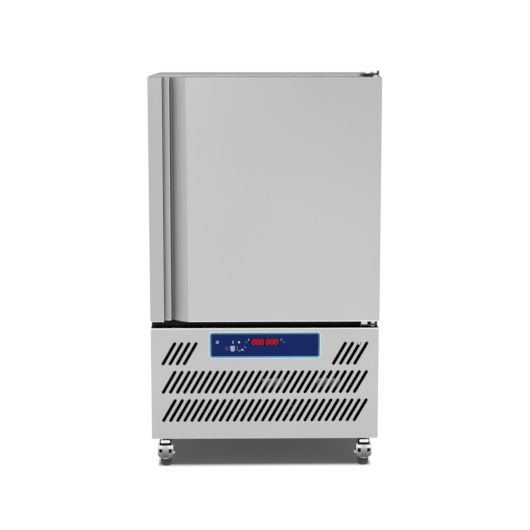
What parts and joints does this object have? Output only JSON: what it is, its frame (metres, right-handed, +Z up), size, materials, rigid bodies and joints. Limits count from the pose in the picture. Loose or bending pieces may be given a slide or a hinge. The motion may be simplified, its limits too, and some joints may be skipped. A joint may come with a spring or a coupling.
{
  "type": "blast chiller",
  "caption": "Reach-in blast chiller on castors: insulated chamber with a right-hinged door, over a louvred machine compartment with a control fascia.",
  "frame": {"origin": "on the floor, at the middle of the object's plan", "axes": "+X to the right seen from the front, the door faces -Y, +Z up"},
  "size_m": [0.81, 0.81, 1.43],
  "materials": {
    "steel_outer": "satin",
    "steel_door": "satin",
    "steel_liner": "satin",
    "steel_zinc": "satin",
    "galvanised": "matte",
    "black_plastic": "matte",
    "black_paint": "satin",
    "gasket_rubber": "matte",
    "foam": "matte",
    "fascia_blue": "gloss",
    "display_red": "gloss",
    "board_green": "satin",
    "key_white": "satin",
    "white_plastic": "satin",
    "grey_plastic": "satin",
    "copper_pipe": "satin",
    "brass_fitting": "satin",
    "aluminium_fins": "satin",
    "castor_tyre": "matte"
  },
  "bodies": {
    "cabinet": {"outer_casing": "steel_outer", "rear_panel": "galvanised", "rear_grille": "galvanised", "insulation": "foam", "cavity_liner": "steel_liner", "front_frame": "steel_liner", "base_pan": "galvanised", "ledge_trim": "black_plastic", "front_panel": "steel_outer", "panel_screws": "steel_zinc", "control_fascia": "fascia_blue", "display_lens": "display_red", "control_board": "board_green", "electrics_box": "grey_plastic", "mains_gland": "black_plastic", "compressor": "black_paint", "compressor_mounts": "gasket_rubber", "condenser_coil": "aluminium_fins", "condenser_shroud": "black_paint", "condenser_motor": "black_paint", "receiver": "black_paint", "filter_drier": "copper_pipe", "pipework": "copper_pipe", "condensate_tray": "black_plastic", "drain_pipe": "white_plastic", "evaporator_coil": "aluminium_fins", "fan_panel": "steel_liner", "fan_guards": "steel_zinc", "evaporator_motors": "black_paint", "drip_tray": "steel_liner", "expansion_valve": "brass_fitting", "tray_racks": "steel_zinc", "probe_socket": "black_plastic", "hinge_brackets": "black_paint", "hinge_pins": "steel_zinc", "caster_plates": "steel_zinc"},
    "door": {"door_skin": "steel_door", "door_handle": "steel_door", "door_end_plates": "steel_door", "door_core": "foam", "door_inner_pan": "steel_liner", "door_gasket": "gasket_rubber", "hinge_bushes": "white_plastic"},
    "condenser_fan": {"condenser_fan": "aluminium_fins"},
    "evaporator_fan_upper": {"evaporator_fan_upper": "aluminium_fins"},
    "evaporator_fan_lower": {"evaporator_fan_lower": "aluminium_fins"},
    "key_power": {"key_power": "key_white"},
    "key_select": {"key_select": "key_white"},
    "key_mode": {"key_mode": "key_white"},
    "key_start": {"key_start": "key_white"},
    "swivel_fl": {"caster_fork_fl": "steel_zinc"},
    "wheel_fl": {"caster_wheel_fl": "castor_tyre"},
    "swivel_fr": {"caster_fork_fr": "steel_zinc"},
    "wheel_fr": {"caster_wheel_fr": "castor_tyre"},
    "swivel_rl": {"caster_fork_rl": "steel_zinc"},
    "wheel_rl": {"caster_wheel_rl": "castor_tyre"},
    "swivel_rr": {"caster_fork_rr": "steel_zinc"},
    "wheel_rr": {"caster_wheel_rr": "castor_tyre"},
    "pedal_fl": {"brake_pedal_fl": "steel_zinc"},
    "pedal_fr": {"brake_pedal_fr": "steel_zinc"}
  },
  "joints": [
    {"name": "door_hinge", "type": "hinge", "parent": "cabinet", "child": "door", "pos_m": [0.383, -0.375, 0.981], "axis": [0, 0, 1], "range_deg": [0, 110]},
    {"name": "condenser_fan_spin", "type": "hinge", "parent": "cabinet", "child": "condenser_fan", "pos_m": [0.14, -0.23, 0.3], "axis": [0, 1, 0], "continuous": true},
    {"name": "evaporator_fan_upper_spin", "type": "hinge", "parent": "cabinet", "child": "evaporator_fan_upper", "pos_m": [0, 0.14, 1.162], "axis": [0, 1, 0], "continuous": true},
    {"name": "evaporator_fan_lower_spin", "type": "hinge", "parent": "cabinet", "child": "evaporator_fan_lower", "pos_m": [0, 0.14, 0.842], "axis": [0, 1, 0], "continuous": true},
    {"name": "key_power_press", "type": "slide", "parent": "cabinet", "child": "key_power", "axis": [0, 1, 0], "range_m": [0, 0.0005], "stiffness_N_per_m": 400, "springref_m": -0.0006},
    {"name": "key_select_press", "type": "slide", "parent": "cabinet", "child": "key_select", "axis": [0, 1, 0], "range_m": [0, 0.0005], "stiffness_N_per_m": 400, "springref_m": -0.0006},
    {"name": "key_mode_press", "type": "slide", "parent": "cabinet", "child": "key_mode", "axis": [0, 1, 0], "range_m": [0, 0.0005], "stiffness_N_per_m": 400, "springref_m": -0.0006},
    {"name": "key_start_press", "type": "slide", "parent": "cabinet", "child": "key_start", "axis": [0, 1, 0], "range_m": [0, 0.0005], "stiffness_N_per_m": 400, "springref_m": -0.0006},
    {"name": "swivel_fl_turn", "type": "hinge", "parent": "cabinet", "child": "swivel_fl", "pos_m": [-0.358, -0.275, 0.11], "axis": [0, 0, 1], "continuous": true},
    {"name": "wheel_fl_roll", "type": "hinge", "parent": "swivel_fl", "child": "wheel_fl", "pos_m": [-0.358, -0.31, 0.05], "axis": [1, 0, 0], "continuous": true},
    {"name": "swivel_fr_turn", "type": "hinge", "parent": "cabinet", "child": "swivel_fr", "pos_m": [0.358, -0.275, 0.11], "axis": [0, 0, 1], "continuous": true},
    {"name": "wheel_fr_roll", "type": "hinge", "parent": "swivel_fr", "child": "wheel_fr", "pos_m": [0.358, -0.31, 0.05], "axis": [1, 0, 0], "continuous": true},
    {"name": "swivel_rl_turn", "type": "hinge", "parent": "cabinet", "child": "swivel_rl", "pos_m": [-0.358, 0.275, 0.11], "axis": [0, 0, 1], "continuous": true},
    {"name": "wheel_rl_roll", "type": "hinge", "parent": "swivel_rl", "child": "wheel_rl", "pos_m": [-0.358, 0.31, 0.05], "axis": [1, 0, 0], "continuous": true},
    {"name": "swivel_rr_turn", "type": "hinge", "parent": "cabinet", "child": "swivel_rr", "pos_m": [0.358, 0.275, 0.11], "axis": [0, 0, 1], "continuous": true},
    {"name": "wheel_rr_roll", "type": "hinge", "parent": "swivel_rr", "child": "wheel_rr", "pos_m": [0.358, 0.31, 0.05], "axis": [1, 0, 0], "continuous": true},
    {"name": "brake_fl_lift", "type": "hinge", "parent": "swivel_fl", "child": "pedal_fl", "pos_m": [-0.358, -0.353, 0.088], "axis": [-1, 0, 0], "range_deg": [0, 25]},
    {"name": "brake_fr_lift", "type": "hinge", "parent": "swivel_fr", "child": "pedal_fr", "pos_m": [0.358, -0.353, 0.088], "axis": [-1, 0, 0], "range_deg": [0, 25]}
  ]
}
